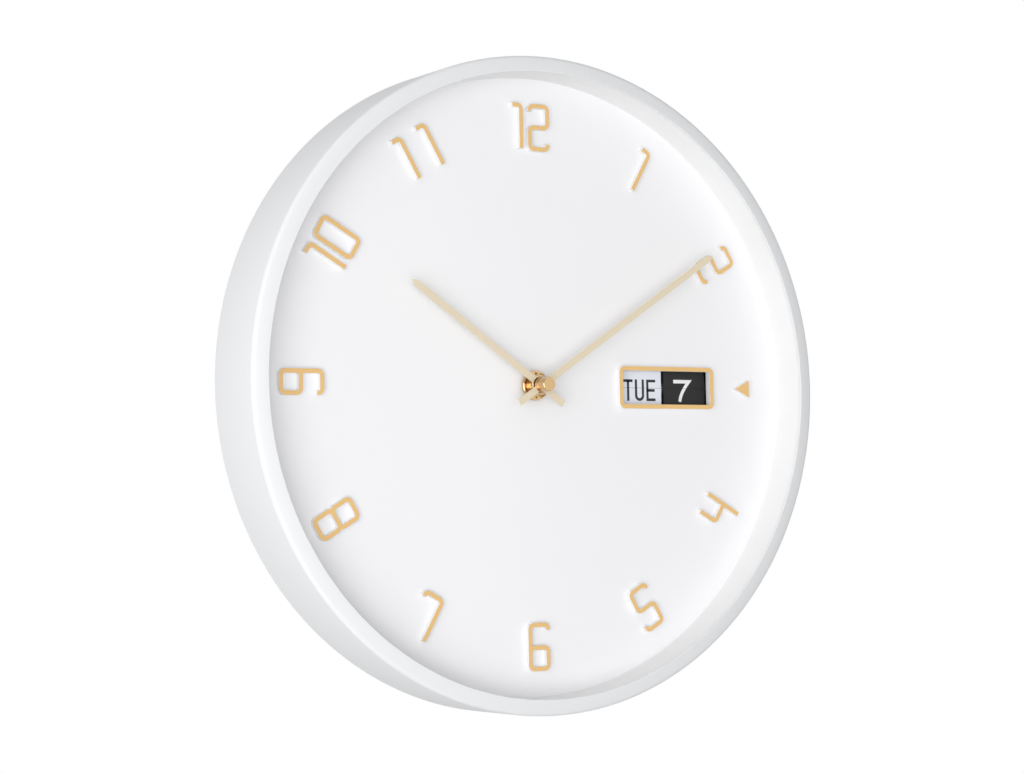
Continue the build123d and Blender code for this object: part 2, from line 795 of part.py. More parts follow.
second_wheel = make_arbor(
    second_at, second_layer, second_teeth, second_wheel_phase, third_layer, second_leaves, second_phase,
)
second_wheel.label = "second_wheel"
export_step(second_wheel, "parts/second_wheel.step")

idler_wheel = make_arbor(
    idler_at, idler_layer, idler_teeth, idler_wheel_phase, second_layer, idler_leaves, idler_phase,
)
idler_wheel.label = "idler_wheel"
export_step(idler_wheel, "parts/idler_wheel.step")

magnet_radius = 2.3
magnet_gap = 0.3
with BuildPart() as rotor:
    gear(idler_layer + pinion_extra, pinion_deep, rotor_leaves, train_module, *rotor_at, phase=rotor_phase)
    disc(arbor_back, arbor_back - arbor_front, pivot_radius, *rotor_at)
    disc(rotor_layer + 0.8, 2.0, magnet_radius, *rotor_at)
rotor.part.label = "rotor"
export_step(rotor.part, "parts/rotor.step")

# Stator, coil, circuit board and crystal
stator_back = rotor_layer + 0.4
stator_thick = 1.2
stator_left = -21.8
stator_right = 5.0
stator_arm = 2.8
stator_low = 8.6
stator_high = 18.8
core_z = 23.4
core_width = 2.4
with BuildPart() as stator:
    slab(stator_back, stator_thick, stator_left, stator_right, stator_low, stator_high)
    for arm_x in (stator_left, stator_right - stator_arm):
        slab(stator_back, stator_thick, arm_x, arm_x + stator_arm, stator_high, core_z + core_width / 2)
    slab(
        stator_back, stator_thick, stator_left, stator_right,
        core_z - core_width / 2, core_z + core_width / 2,
    )
    disc(stator_back, stator_thick, magnet_radius + magnet_gap, *rotor_at, mode=Mode.SUBTRACT)
    disc(stator_back, stator_thick, pivot_radius + 0.35, *idler_at, mode=Mode.SUBTRACT)
stator.part.label = "stator"
export_step(stator.part, "parts/stator.step")

coil_radius = 2.0
coil_flange = 2.4
coil_bore = 1.4
coil_y = stator_back - stator_thick / 2
coil_x0 = stator_left + stator_arm + 0.2
coil_x1 = stator_right - stator_arm - 0.2
with BuildPart() as coil:
    rod(coil_x0, coil_x1, coil_radius, coil_y, core_z)
    for end_x in (coil_x0, coil_x1 - 0.8):
        rod(end_x, end_x + 0.8, coil_flange, coil_y, core_z)
    rod(coil_x0, coil_x1, coil_bore, coil_y, core_z, mode=Mode.SUBTRACT)
coil.part.label = "coil"
export_step(coil.part, "parts/coil.step")

board_back = cover_front
board_thick = 1.0
board_width = 10.0
board_left = box_left + 2.5
board_low = -13.0
board_high = 5.0
board_middle = board_left + board_width / 2
with BuildPart() as circuit_board:
    slab(board_back, board_thick, board_left, board_left + board_width, board_low, board_high)
    disc(board_back - board_thick, 0.9, 2.2, board_middle, board_low + 5.0)
circuit_board.part.label = "circuit_board"
export_step(circuit_board.part, "parts/circuit_board.step")

crystal_radius = 1.0
with BuildPart() as crystal:
    with BuildSketch(Plane(origin=(board_middle, board_back - board_thick - crystal_radius, -3.0))):
        Circle(crystal_radius)
    extrude(amount=6.0)
crystal.part.label = "crystal"
export_step(crystal.part, "parts/crystal.step")

# Battery and its two contacts
bay_z = (bay_bottom + box_bottom) / 2
cell_y = house_inside + 0.2 + cell_radius
cell_x0 = -cell_length / 2
contact_thick = 0.4
contact_half = 5.0
with BuildPart() as battery:
    rod(cell_x0, cell_x0 + cell_length, cell_radius, cell_y, bay_z)
    fillet(battery.edges(), radius=0.6)
    rod(cell_x0 + cell_length, cell_x0 + cell_length + 1.0, 2.7, cell_y, bay_z)
battery.part.label = "battery"
export_step(battery.part, "parts/battery.step")

bay_end = bay_right - wall
with BuildPart() as contact_plus:
    slab(
        cell_y + contact_half, 2 * contact_half, bay_end - contact_thick, bay_end,
        bay_z - contact_half, bay_z + contact_half,
    )  # fmt: skip
    rod(cell_x0 + cell_length + 1.0, bay_end - contact_thick, 2.2, cell_y, bay_z)
contact_plus.part.label = "contact_plus"
export_step(contact_plus.part, "parts/contact_plus.step")

with BuildPart() as contact_minus:
    slab(
        cell_y + contact_half, 2 * contact_half, -bay_end, -bay_end + contact_thick,
        bay_z - contact_half, bay_z + contact_half,
    )  # fmt: skip
    with BuildSketch(front(cell_y + 2, 0, 0)):
        with BuildLine():
            Polyline(
                (-bay_end + contact_thick, bay_z - 4),
                (cell_x0, bay_z),
                (-bay_end + contact_thick, bay_z + 4),
                (-bay_end + contact_thick, bay_z + 4 - 0.6),
                (cell_x0 - 0.5, bay_z),
                (-bay_end + contact_thick, bay_z - 4 + 0.6),
                close=True,
            )
        make_face()
    extrude(amount=4)
contact_minus.part.label = "contact_minus"
export_step(contact_minus.part, "parts/contact_minus.step")

# Flip drums on one fixed axle; the date tube runs inside the day tube
with BuildPart() as drum_axle:
    rod(left_rib, right_rib + rib_thick, axle_radius, drum_y)
drum_axle.part.label = "drum_axle"
export_step(drum_axle.part, "parts/drum_axle.step")

notch_width = 0.5
notch_depth = flange_radius - hinge_radius + 0.3


def flange(x0, count):
    """Drum cheek with one open notch for each leaf tab."""
    pitch = 360 / count
    notches = [(number + 0.5) * pitch for number in range(count)]
    with BuildSketch(side(x0, drum_y)) as face:
        Circle(flange_radius)
        for angle in notches:
            with Locations(Location((*polar(flange_radius - notch_depth / 2, 180 - angle), 0), 180 - angle)):
                Rectangle(notch_depth + 0.2, notch_width, mode=Mode.SUBTRACT)
    extrude(face.sketch, amount=flange_thick)


def ratchet(x0, thick, count):
    """Saw-toothed wheel that the lever pushes from below, behind the axle."""
    pitch = 360 / count
    lead = 2.0
    points = []
    for tooth in range(count):
        points.append(polar(ratchet_radius - ratchet_depth, lead + tooth * pitch))
        points.append(polar(ratchet_radius, lead + tooth * pitch))
    with BuildSketch(side(x0, drum_y)) as face:
        with BuildLine():
            Polyline(*points, close=True)
        make_face()
    extrude(face.sketch, amount=thick)


ratchet_thick = 1.2
date_ratchet_x = left_rib + rib_thick + 0.8
day_ratchet_x = date_ratchet_x + ratchet_thick + 1.0

with BuildPart() as date_drum:
    rod(left_rib + rib_thick + 0.2, date_x1 + card_step, date_tube, drum_y)
    flange(date_x0 - card_step, date_count)
    flange(date_x1 + drum_gap, date_count)
    ratchet(date_ratchet_x, ratchet_thick, date_count)
    rod(left_rib, date_x1 + 5, axle_radius + 0.05, drum_y, mode=Mode.SUBTRACT)
date_drum.part.label = "date_drum"
export_step(date_drum.part, "parts/date_drum.step")

with BuildPart() as day_drum:
    rod(day_ratchet_x - 0.4, day_x1 + card_step, day_tube, drum_y)
    flange(day_x0 - card_step, day_count)
    flange(day_x1 + drum_gap, day_count)
    ratchet(day_ratchet_x, ratchet_thick, day_count)
    rod(left_rib, date_x1, date_tube + running_gap, drum_y, mode=Mode.SUBTRACT)
day_drum.part.label = "day_drum"
export_step(day_drum.part, "parts/day_drum.step")

tab_height = 0.3


def leaf(x0, outer, root, pivot_angle, lean):
    """One card: a thin plate with two pivot tabs and one rounded corner.

    pivot_angle is measured from the front over the top; lean is the card's own direction;
    outer is -1 or 1, the end with the rounded corner; root is the part below the pivot.
    """
    pivot_y = drum_y - hinge_radius * cos(radians(pivot_angle))
    pivot_z = hinge_radius * sin(radians(pivot_angle))
    along = (0, -cos(radians(lean)), sin(radians(lean)))
    half_card = card_width / 2
    plane = Plane(
        origin=(x0 + half_card, pivot_y, pivot_z),
        x_dir=(1, 0, 0),
        z_dir=Vector(1, 0, 0).cross(Vector(*along)),
    )
    with BuildSketch(plane) as face:
        with Locations((0, (leaf_length - root) / 2)):
            Rectangle(card_width, leaf_length + root)
        tip = vertices().sort_by_distance((outer * half_card, leaf_length))[0]
        fillet(tip, radius=card_corner)
        Rectangle(card_width + 2 * (card_step - 0.05), tab_height)
    extrude(face.sketch, amount=leaf_thick / 2, both=True)


def leaf_lean(number, count):
    """Direction of a card: trailing over the top, hanging straight down below."""
    pitch = 360 / count
    angle = (number + 0.5) * pitch
    return angle + 90 - pitch / 2 if angle <= 180.001 else 270.0


def leaf_root(count):
    """Length below the pivot that brings the two cards on show close together."""
    return hinge_radius * sin(radians(180 / count)) - leaf_gap / 2


def make_leaves(x0, outer, count):
    """Every card of a drum but the upper one on show."""
    with BuildPart() as leaves:
        for number in range(1, count):
            angle = (number + 0.5) * 360 / count
            leaf(x0, outer, leaf_root(count), angle, leaf_lean(number, count))
    return leaves.part


def make_upper_leaf(x0, outer, count):
    """The upper card on show, which turns over at midnight."""
    with BuildPart() as card:
        leaf(x0, outer, leaf_root(count), 0.5 * 360 / count, leaf_lean(0, count))
    return card.part


day_leaves = make_leaves(day_x0, -1, day_count)
day_leaves.label = "day_leaves"
export_step(day_leaves, "parts/day_leaves.step")

day_upper_leaf = make_upper_leaf(day_x0, -1, day_count)
day_upper_leaf.label = "day_upper_leaf"
export_step(day_upper_leaf, "parts/day_upper_leaf.step")

date_leaves = make_leaves(date_x0, 1, date_count)
date_leaves.label = "date_leaves"
export_step(date_leaves, "parts/date_leaves.step")

date_upper_leaf = make_upper_leaf(date_x0, 1, date_count)
date_upper_leaf.label = "date_upper_leaf"
export_step(date_upper_leaf, "parts/date_upper_leaf.step")

# Calendar lever: follower arm over the cam, pawl under both ratchets
follower_at = (day_at[0] + 5.3, 9.2)
follower_radius = 0.8
lever_thick = 1.0
pawl_x0 = date_ratchet_x - 0.2
pawl_x1 = day_ratchet_x + ratchet_thick + 0.2
pawl_y = drum_y + ratchet_radius
with BuildPart() as calendar_lever:
    disc(lever_back, lever_thick, 2.6, *lever_at)
    for arm_end in (follower_at, (pawl_x1 - 1.0, 0.0)):
        with BuildSketch(front(lever_back)):
            with BuildLine():
                Line(lever_at, arm_end)
            trace(line_width=2.0)
        extrude(amount=lever_thick)
    disc(lever_back, lever_thick, follower_radius, *follower_at)
    disc(lever_back, lever_thick, 1.25, *lever_at, mode=Mode.SUBTRACT)
    with BuildSketch(side(pawl_x0)):
        with BuildLine():
            Polyline(
                (pawl_y - 0.4, 0.0),
                (pawl_y + 0.05, -0.3),
                (pawl_y + 0.35, -0.65),
                (lever_back, -0.65),
                (lever_back, 0.0),
                close=True,
            )
        make_face()
    extrude(amount=pawl_x1 - pawl_x0)
calendar_lever.part.label = "calendar_lever"
export_step(calendar_lever.part, "parts/calendar_lever.step")

spring_thick = 0.3
with BuildPart() as lever_spring:
    with BuildSketch(front(lever_back)):
        with BuildLine():
            Line((spring_at[0] + 1.0, spring_at[1] - 0.7), (follower_at[0] + 0.3, follower_at[1] + 1.3))
        trace(line_width=spring_thick)
    extrude(amount=lever_thick)
lever_spring.part.label = "lever_spring"
export_step(lever_spring.part, "parts/lever_spring.step")
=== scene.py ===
"""Looks for a round wall clock with a flip day and date window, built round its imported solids."""

import json
import math

import bmesh
import bpy
from bpy.props import FloatProperty, FloatVectorProperty, IntProperty, PointerProperty
from mathutils import Matrix, Quaternion, Vector


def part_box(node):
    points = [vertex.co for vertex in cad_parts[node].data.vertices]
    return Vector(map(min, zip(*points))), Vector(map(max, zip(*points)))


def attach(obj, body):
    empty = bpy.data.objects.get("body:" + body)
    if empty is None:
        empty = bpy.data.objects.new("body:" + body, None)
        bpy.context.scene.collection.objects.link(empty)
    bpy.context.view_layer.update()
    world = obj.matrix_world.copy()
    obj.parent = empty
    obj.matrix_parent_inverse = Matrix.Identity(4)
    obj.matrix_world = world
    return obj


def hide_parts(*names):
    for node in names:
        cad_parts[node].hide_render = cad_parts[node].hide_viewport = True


bl_info = {
    "name": "Flip Calendar Wall Clock",
    "version": (1, 0, 0),
    "blender": (4, 5, 0),
    "location": "3D View > Sidebar > Wall Clock",
    "description": "Finishes, cards, screws and studio for a wall clock with a day and date window",
    "category": "Object",
}

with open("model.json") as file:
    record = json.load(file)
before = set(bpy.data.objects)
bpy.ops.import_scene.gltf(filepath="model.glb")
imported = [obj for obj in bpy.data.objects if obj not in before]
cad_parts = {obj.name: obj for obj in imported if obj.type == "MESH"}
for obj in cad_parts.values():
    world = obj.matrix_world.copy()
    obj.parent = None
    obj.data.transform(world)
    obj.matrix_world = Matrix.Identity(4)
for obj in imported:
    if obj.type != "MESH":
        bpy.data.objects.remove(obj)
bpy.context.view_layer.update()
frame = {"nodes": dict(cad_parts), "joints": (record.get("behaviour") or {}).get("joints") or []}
nodes = frame["nodes"]
MM = 0.001

case_low, case_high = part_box("case_shell")
cell_low, cell_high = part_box("battery")


def linear(code):
    """An sRGB hex colour as linear red, green and blue."""
    parts = [int(code[i : i + 2], 16) / 255 for i in (0, 2, 4)]
    return tuple(c / 12.92 if c <= 0.04045 else ((c + 0.055) / 1.055) ** 2.4 for c in parts)


def tint(code, name, description):
    """A colour property with an sRGB hex default."""
    return FloatVectorProperty(
        name=name, description=description, subtype="COLOR", size=3, min=0.0, max=1.0, default=linear(code)
    )


def length(mm, name, description):
    """A length property with a default in millimetres."""
    return FloatProperty(name=name, description=description, unit="LENGTH", min=0.0, default=mm * MM)


class ClockSizes(bpy.types.PropertyGroup):
    """Lengths of the pieces that the scene makes."""

    sheet: length(0.9, "Case sheet", "Thickness of the pressed steel case")
    rim_width: length(7.5, "Rim width", "Flat face of the case, seen from the front")
    lip_depth: length(1.6, "Rim lip", "How far the rim's inner edge turns back")
    rim_fall: length(1.4, "Rim fall", "How far the rim's face falls back towards its outer edge")
    edge_round: length(2.2, "Rim rounding", "Radius of the case's front outer edge")
    lip_round: length(0.27, "Lip rounding", "Radius of the rim's inner edge")
    crisp: length(0.1, "Crisp edge", "Radius of the case's cut edges")
    turns: IntProperty(name="Facets", description="Facets round the case", default=256, min=48, max=512)
    day_left: length(52.0, "Day from", "Left end of the word on the day card, from the hand axis")
    day_right: length(70.3, "Day to", "Right end of the word on the day card, from the hand axis")
    date_left: length(80.8, "Date from", "Left end of the figure on the date card, from the hand axis")
    date_right: length(90.7, "Date to", "Right end of the figure on the date card, from the hand axis")
    day_letters: length(10.2, "Day letter height", "Height of the letters on the day card")
    day_stroke: length(1.3, "Day letter stroke", "Stroke of the letters on the day card")
    date_figure: length(10.5, "Date figure height", "Height of the figure on the date card")
    date_stroke: length(1.7, "Date figure stroke", "Stroke of the figure on the date card")
    text_drop: length(1.1, "Text drop", "How far the words sit below the middle of the window")
    ink: length(0.006, "Ink", "Thickness of the printed ink")
    card_gap: length(0.12, "Card gap", "Gap between the upper and the lower card on show")
    screw_head: length(1.9, "Screw head radius", "Radius of a pan head")
    screw_height: length(1.3, "Screw head height", "Height of a pan head")
    screw_shank: length(1.0, "Screw shank radius", "Radius of a screw's thread")
    collar: length(4.1, "Hand collar", "Radius of the bright collar in each hand")
    rib_width: length(0.9, "Rib width", "Width of the moulded ribs on the rear cover")
    rib_rise: length(0.4, "Rib rise", "Height of the moulded ribs on the rear cover")
    rib_inset: length(4.0, "Rib inset", "Distance of the ribs from the cover's screws")
    rib_corner: length(2.0, "Rib corner", "Radius of the corners of the ribs")
    rib_sink: length(0.05, "Rib sink", "How far the ribs start inside the cover")
    mark_width: length(0.72, "Mark width", "Width of the arrows and of the cell's signs")
    arrow_radius: length(6.6, "Arrow radius", "Radius of the setting arrows round the knob")
    arrow_tip: length(2.4, "Arrow tip", "Length of an arrow's tip")
    arrow_half: length(1.3, "Arrow half width", "Half the width of an arrow's tip")
    sign_arm: length(1.6, "Sign arm", "Half the length of the cell's signs")
    sign_gap: length(4.4, "Sign gap", "Height of the cell's signs over the cell")
    plus_inset: length(6.0, "Plus inset", "Distance of the plus sign from the cell's cap")
    minus_inset: length(8.0, "Minus inset", "Distance of the minus sign from the cell's foot")
    cell_foot: length(1.0, "Cell foot", "Bare steel at the cell's foot")
    cell_cap: length(1.8, "Cell cap", "Bare steel at the cell's cap")
    floor_drop: length(1500.0, "Floor below axis", "Height of the hand axis over the floor")
    floor_half: length(2500.0, "Floor half width", "Half the width of the floor")
    fade_from: length(1500.0, "Fade from", "Distance from the clock at which the floor starts to fade into white")
    fade_to: length(2400.0, "Fade to", "Distance from the clock at which the floor is white")


class ClockColours(bpy.types.PropertyGroup):
    """Colours of the finishes."""

    enamel: tint("E0E1E3", "Case enamel", "Baked white enamel of the case")
    dial: tint("EEEEF0", "Dial", "Sprayed white of the dial")
    ring: tint("E8E8E8", "Ring", "White moulding of the inner ring")
    gold: tint("EBC282", "Gold foil", "Hot stamped foil on numerals, marker and window frame")
    champagne: tint("E3D6BC", "Hand paint", "Champagne paint of the hands")
    brass: tint("E8C592", "Gold metal", "Polished metal of the hub")
    # A darker gold whose tone is painted reflection: it stands for the dark reflections on the sides of the hub and in
    # the collars of the hands
    painted_reflection_gold: tint("CBAA80", "Burnished gold", "Darker gold on the sides of the hub")
    pale: tint("E2E5EC", "Day card", "Pale film of the day cards")
    black: tint("111112", "Date card", "Black film of the date cards")
    ink: tint("26282C", "Day ink", "Dark ink of the day")
    figure: tint("ECECEC", "Date ink", "White ink of the date")
    housing: tint("1B1B1D", "Movement", "Black moulding of the movement")
    floor: tint("F2F2F1", "Floor", "Pale studio floor")


def sizes():
    """The scene's lengths."""
    return bpy.context.scene.clock_sizes


def colours():
    """The scene's colours."""
    return bpy.context.scene.clock_colours


def add(tree, kind, inputs=None, **settings):
    """Adds a node: settings are its properties, inputs maps sockets to values or to outputs to link."""
    node = tree.nodes.new(kind)
    for key, value in settings.items():
        setattr(node, key, value)
    for key, value in (inputs or {}).items():
        socket = node.inputs[key]
        if isinstance(value, bpy.types.NodeSocket):
            tree.links.new(value, socket)
        else:
            socket.default_value = value
    return node


def per_mm(mm):
    """Texture scale for a pattern whose features are that many millimetres."""
    return 1.0 / (mm * MM)


def surface(name, colour, roughness, grain_mm, grain, metallic=0.0, mottle=0.02, mottle_mm=30.0, **sockets):
    """A principled surface with a fine bump, a slow drift of tone and roughness, all from Object coordinates."""
    made = bpy.data.materials.new(name)
    made.use_nodes = True
    tree = made.node_tree
    tree.nodes.clear()
    point = add(tree, "ShaderNodeTexCoord").outputs["Object"]
    drift = add(tree, "ShaderNodeTexNoise", {"Vector": point, "Scale": per_mm(mottle_mm), "Detail": 3.0})
    fine = add(tree, "ShaderNodeTexNoise", {"Vector": point, "Scale": per_mm(grain_mm), "Detail": 2.0})
    dark = tuple(c * (1 - mottle) for c in colour) + (1.0,)
    light = tuple(min(1.0, c * (1 + mottle)) for c in colour) + (1.0,)
    # Sockets 6 and 7 of a Mix node are its two colours
    tone = add(tree, "ShaderNodeMix", {"Factor": drift.outputs["Fac"], 6: dark, 7: light}, data_type="RGBA")
    spread = 0.15
    low, high = roughness * (1 - spread), min(1.0, roughness * (1 + spread))
    rough = add(tree, "ShaderNodeMapRange", {"Value": fine.outputs["Fac"], "To Min": low, "To Max": high})
    # A grain is a twentieth as high as it is wide
    height = grain_mm * MM / 20
    bump = add(tree, "ShaderNodeBump", {"Height": fine.outputs["Fac"], "Strength": grain, "Distance": height})
    values = {key.replace("_", " ").title(): value for key, value in sockets.items()}
    shader = add(
        tree,
        "ShaderNodeBsdfPrincipled",
        {
            "Base Color": tone.outputs[2],
            "Roughness": rough.outputs["Result"],
            "Normal": bump.outputs["Normal"],
            "Metallic": metallic,
            **values,
        },
    )
    add(tree, "ShaderNodeOutputMaterial", {"Surface": shader.outputs["BSDF"]})
    return made


def part_of(material, kind):
    """The node of that kind in a material."""
    return next(n for n in material.node_tree.nodes if n.bl_idname == kind)


def two_finishes(made, mask, base, over):
    """Shows one shader where the mask is 0 and another where it is 1."""
    tree = made.node_tree
    both = add(tree, "ShaderNodeMixShader", {0: mask, 1: base.outputs[0], 2: over.outputs[0]})
    tree.links.new(both.outputs[0], part_of(made, "ShaderNodeOutputMaterial").inputs["Surface"])
    return made


def plain(made, colour, roughness, metallic=0.0):
    """A second, even shader in a material."""
    values = {"Base Color": (*colour, 1.0), "Metallic": metallic, "Roughness": roughness}
    return add(made.node_tree, "ShaderNodeBsdfPrincipled", values)


def front_mask(made):
    """1 on the faces that look to the front, within about 53 degrees, and 0 elsewhere."""
    tree, least = made.node_tree, -0.6
    facing = add(tree, "ShaderNodeSeparateXYZ", {"Vector": add(tree, "ShaderNodeTexCoord").outputs["Normal"]})
    return add(tree, "ShaderNodeMath", {0: facing.outputs["Y"], 1: least}, operation="LESS_THAN").outputs[0]


def finish_of(name):
    """The material of that name, made once."""
    return bpy.data.materials.get(name) or FINISHES[name]()


def case_enamel():
    # Baked satin enamel on pressed steel: smooth, with a faint orange peel in its soft gloss
    return surface("case_enamel", colours().enamel, roughness=0.5, grain_mm=2.2, grain=0.12, mottle=0.006)


def dial_spray():
    # Sprayed matt white on a moulded disc: almost no gloss, a dust fine tooth
    return surface("dial_spray", colours().dial, roughness=0.62, grain_mm=0.5, grain=0.10, mottle=0.006, mottle_mm=60.0)


def ring_moulding():
    # Satin white polystyrene: soft gloss and a fine spark grain
    return surface("ring_moulding", colours().ring, roughness=0.5, grain_mm=0.7, grain=0.10, mottle=0.006)


def foil_face():
    # White moulding hot stamped with gold foil on its front face: satin gold in front, white down the sides
    made = surface(
        "foil_face", colours().gold, roughness=0.34, grain_mm=0.35, grain=0.12, metallic=0.4, mottle=0.03, mottle_mm=8.0
    )
    gold = part_of(made, "ShaderNodeBsdfPrincipled")
    return two_finishes(made, front_mask(made), plain(made, colours().ring, roughness=0.45), gold)


def hand_paint():
    # Metallic champagne paint on stamped aluminium, satin with fine flake; the collars round the axis are left as bare
    # polished metal, and their darker gold is painted reflection
    made = surface(
        "hand_paint", colours().champagne, roughness=0.42, grain_mm=0.25, grain=0.12,
        metallic=0.35, mottle=0.03, mottle_mm=5.0,
    )  # fmt: skip
    tree = made.node_tree
    paint = part_of(made, "ShaderNodeBsdfPrincipled")
    point = part_of(made, "ShaderNodeTexCoord").outputs["Object"]
    flat = add(tree, "ShaderNodeVectorMath", {0: point, 1: (1.0, 0.0, 1.0)}, operation="MULTIPLY")
    reach = add(tree, "ShaderNodeVectorMath", {0: flat.outputs[0]}, operation="LENGTH")
    bare = add(tree, "ShaderNodeMath", {0: reach.outputs["Value"], 1: sizes().collar}, operation="LESS_THAN")
    return two_finishes(made, bare.outputs[0], paint, plain(made, colours().painted_reflection_gold, roughness=0.16, metallic=1.0))


def hub_gold():
    # Turned brass with a gold lacquer: bright satin faces, and on the sides a darker gold that paints the dark
    # reflections they show
    made = surface(
        "hub_gold", colours().brass, roughness=0.18, grain_mm=0.18, grain=0.10, metallic=1.0, mottle=0.03, mottle_mm=3.0
    )
    gold = part_of(made, "ShaderNodeBsdfPrincipled")
    return two_finishes(made, front_mask(made), plain(made, colours().painted_reflection_gold, roughness=0.16, metallic=0.85), gold)


def zinc_plate():
    # Bright zinc on steel: cool grey metal with a cloudy bloom
    return surface(
        "zinc_plate", linear("B9BCC0"), roughness=0.32, grain_mm=0.6, grain=0.15,
        metallic=1.0, mottle=0.10, mottle_mm=4.0,
    )  # fmt: skip


def housing_moulding():
    # Black ABS from a spark eroded mould: dull black with an even, fine tooth
    return surface(
        "housing_moulding", colours().housing, roughness=0.52, grain_mm=0.45, grain=0.35, mottle=0.08, mottle_mm=12.0
    )


def wheel_acetal():
    # Natural acetal: waxy off white with light going a little way in
    return surface(
        "wheel_acetal", linear("EBE7DA"), roughness=0.38, grain_mm=0.4, grain=0.08,
        subsurface_weight=0.15, subsurface_scale=0.8 * MM,
    )  # fmt: skip


def arbor_brass():
    # Turned brass: warm yellow metal with a fine sheen from the tool
    return surface(
        "arbor_brass", linear("D8B068"), roughness=0.24, grain_mm=0.15, grain=0.12,
        metallic=1.0, mottle=0.05, mottle_mm=2.0,
    )  # fmt: skip


def coil_copper():
    # Enamelled copper wire of 0.25 mm, wound in close turns across the bobbin and drawn about twice as coarse
    made = surface(
        "coil_copper", linear("B86A36"), roughness=0.28, grain_mm=0.2, grain=0.10,
        metallic=0.9, mottle=0.05, mottle_mm=2.0,
    )  # fmt: skip
    tree = made.node_tree
    point = part_of(made, "ShaderNodeTexCoord").outputs["Object"]
    wire = add(tree, "ShaderNodeTexWave", {"Vector": point, "Scale": per_mm(0.25 * math.tau)}, bands_direction="X")
    bump = part_of(made, "ShaderNodeBump")
    tree.links.new(wire.outputs["Fac"], bump.inputs["Height"])
    bump.inputs["Strength"].default_value = 0.6
    bump.inputs["Distance"].default_value = 0.08 * MM
    return made


def board_green():
    # Solder mask over glass cloth: glossy green
    return surface(
        "board_green", linear("1F6B3C"), roughness=0.25, grain_mm=0.5, grain=0.2,
        mottle=0.12, mottle_mm=1.5, coat_weight=0.3,
    )  # fmt: skip


def cell_wrap():
    # Plain shrink film on a dry cell, blue and glossy, stopping short of the bright steel can at both ends
    made = surface(
        "cell_wrap", linear("2F4B6E"), roughness=0.22, grain_mm=3.0, grain=0.1,
        mottle=0.05, mottle_mm=20.0, coat_weight=0.4,
    )  # fmt: skip
    tree, s = made.node_tree, sizes()
    film = part_of(made, "ShaderNodeBsdfPrincipled")
    spot = add(tree, "ShaderNodeSeparateXYZ", {"Vector": part_of(made, "ShaderNodeTexCoord").outputs["Object"]})
    along = spot.outputs["X"]
    foot = add(tree, "ShaderNodeMath", {0: along, 1: cell_low.x + s.cell_foot}, operation="LESS_THAN")
    cap = add(tree, "ShaderNodeMath", {0: along, 1: cell_high.x - s.cell_cap}, operation="GREATER_THAN")
    ends = add(tree, "ShaderNodeMath", {0: foot.outputs[0], 1: cap.outputs[0]}, operation="MAXIMUM")
    return two_finishes(made, ends.outputs[0], film, plain(made, linear("C2C4C6"), roughness=0.28, metallic=1.0))


def pale_film():
    # Matt pale polyester film, slightly cool
    return surface("pale_film", colours().pale, roughness=0.5, grain_mm=0.3, grain=0.08, mottle=0.01)


def black_film():
    # Matt black polyester film
    return surface("black_film", colours().black, roughness=0.55, grain_mm=0.3, grain=0.10, mottle=0.06)


def day_ink():
    # Dark screen ink, a little raised and matt
    return surface("day_ink", colours().ink, roughness=0.6, grain_mm=0.2, grain=0.1, mottle=0.05, mottle_mm=2.0)


def date_ink():
    # Opaque white screen ink
    return surface("date_ink", colours().figure, roughness=0.6, grain_mm=0.2, grain=0.1, mottle=0.01, mottle_mm=2.0)


def studio_floor():
    # Pale painted board that takes the shadow in the middle and runs out into the white of the room
    made = surface(
        "studio_floor", colours().floor, roughness=0.8, grain_mm=2.0, grain=0.1, mottle=0.01, mottle_mm=200.0
    )
    tree, s = made.node_tree, sizes()
    board = part_of(made, "ShaderNodeBsdfPrincipled")
    point = part_of(made, "ShaderNodeTexCoord").outputs["Object"]
    reach = add(tree, "ShaderNodeVectorMath", {0: point}, operation="LENGTH")
    fade = add(
        tree,
        "ShaderNodeMapRange",
        {"Value": reach.outputs["Value"], "From Min": s.fade_from, "From Max": s.fade_to},
        interpolation_type="SMOOTHSTEP",
    )
    light = add(tree, "ShaderNodeLightPath")
    seen = add(
        tree, "ShaderNodeMath", {0: fade.outputs[0], 1: light.outputs["Is Camera Ray"]}, operation="MULTIPLY"
    )
    return two_finishes(made, seen.outputs[0], board, add(tree, "ShaderNodeEmission", {"Strength": 1.0}))


FINISHES = {
    f.__name__: f
    for f in (
        case_enamel, dial_spray, ring_moulding, foil_face, hand_paint, hub_gold, zinc_plate, housing_moulding,
        wheel_acetal, arbor_brass, coil_copper, board_green, cell_wrap, pale_film, black_film, day_ink, date_ink,
        studio_floor,
    )
}  # fmt: skip


def dress(finish, *names):
    """Gives CAD nodes a finish through their material slots."""
    for name in names:
        nodes[name].material_slots[0].material = finish_of(finish)


def show(name, mesh, finish, body, slot, *stands_for):
    """Puts a finished mesh in the scene on its body, in place of the CAD nodes that it stands for."""
    if not mesh.polygons:
        raise RuntimeError(f"{name} has no faces")
    if not mesh.materials:
        mesh.materials.append(finish_of(finish))
    mesh.name = name
    piece = bpy.data.objects.new(name, mesh)
    bpy.context.scene.collection.objects.link(piece)
    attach(piece, body)
    if stands_for:
        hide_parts(*stands_for)
    return piece


def new_tree(name, inputs):
    """A geometry tree with a geometry input, named inputs and a geometry output."""
    tree = bpy.data.node_groups.new(name, "GeometryNodeTree")
    tree.interface.new_socket("Geometry", in_out="INPUT", socket_type="NodeSocketGeometry")
    for label, kind in inputs:
        tree.interface.new_socket(label, in_out="INPUT", socket_type=kind)
    tree.interface.new_socket("Geometry", in_out="OUTPUT", socket_type="NodeSocketGeometry")
    return tree, add(tree, "NodeGroupInput"), add(tree, "NodeGroupOutput")


def close_tree(tree, source, end, geometry):
    """Ends a tree in Realize Instances and Set Material."""
    real = add(tree, "GeometryNodeRealizeInstances", {"Geometry": geometry})
    made = add(
        tree,
        "GeometryNodeSetMaterial",
        {"Geometry": real.outputs[0], "Material": source.outputs["Material"]},
    )
    tree.links.new(made.outputs[0], end.inputs[0])
    return tree


